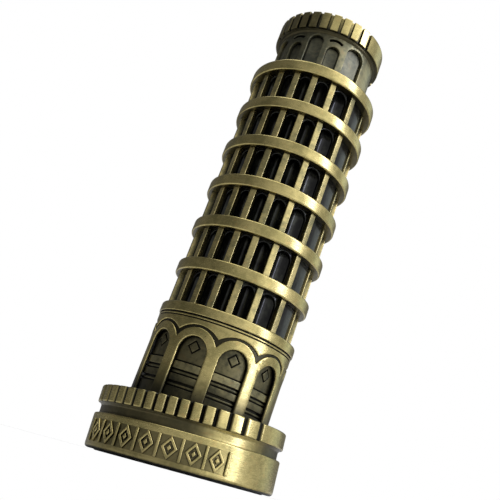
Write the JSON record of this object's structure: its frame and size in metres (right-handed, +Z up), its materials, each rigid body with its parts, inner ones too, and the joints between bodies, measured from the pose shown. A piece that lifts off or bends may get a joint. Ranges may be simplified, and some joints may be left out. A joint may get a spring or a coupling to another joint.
{
  "type": "miniature leaning tower",
  "caption": "Round arcaded bell tower in antique bronze that leans on a heavy round base, built from stacked cast tiers on a tie rod with felt underneath.",
  "frame": {"origin": "centre of the felt pad's underside, the face the tower stands on", "axes": "+Z up, square to the base; -Y is the front, the way the mould opens; the tower leans 5.1 degrees towards +X"},
  "size_m": [0.0517, 0.0488, 0.1307],
  "materials": {
    "bronze": "antique bronze plating, relieved to a pale olive gold on raised edges and dark in the corners",
    "grey_bronze": "antique bronze plating left dull and grey-green",
    "niche_bronze": "dark grey-green bronze behind the arches",
    "black_patina": "glossy black patina",
    "zinc_plated_steel": "bright zinc plating",
    "felt": "black pressed felt"
  },
  "bodies": {
    "root": {"felt_pad": "felt", "plinth": "bronze", "base_ring": "bronze", "ground_floor_core": "niche_bronze", "ground_floor_arcade": "bronze", "cornice_1": "bronze", "gallery_core": "black_patina", "colonnade_1": "bronze", "cornice_2": "bronze", "colonnade_2": "bronze", "cornice_3": "bronze", "colonnade_3": "bronze", "cornice_4": "bronze", "colonnade_4": "bronze", "cornice_5": "bronze", "colonnade_5": "bronze", "cornice_6": "bronze", "colonnade_6": "bronze", "cornice_7": "bronze", "belfry_core": "black_patina", "belfry_arcade": "grey_bronze", "crown": "bronze", "tie_rod": "zinc_plated_steel", "flat_washer": "zinc_plated_steel", "spring_washer": "zinc_plated_steel", "hex_nut": "zinc_plated_steel"}
  },
  "joints": []
}
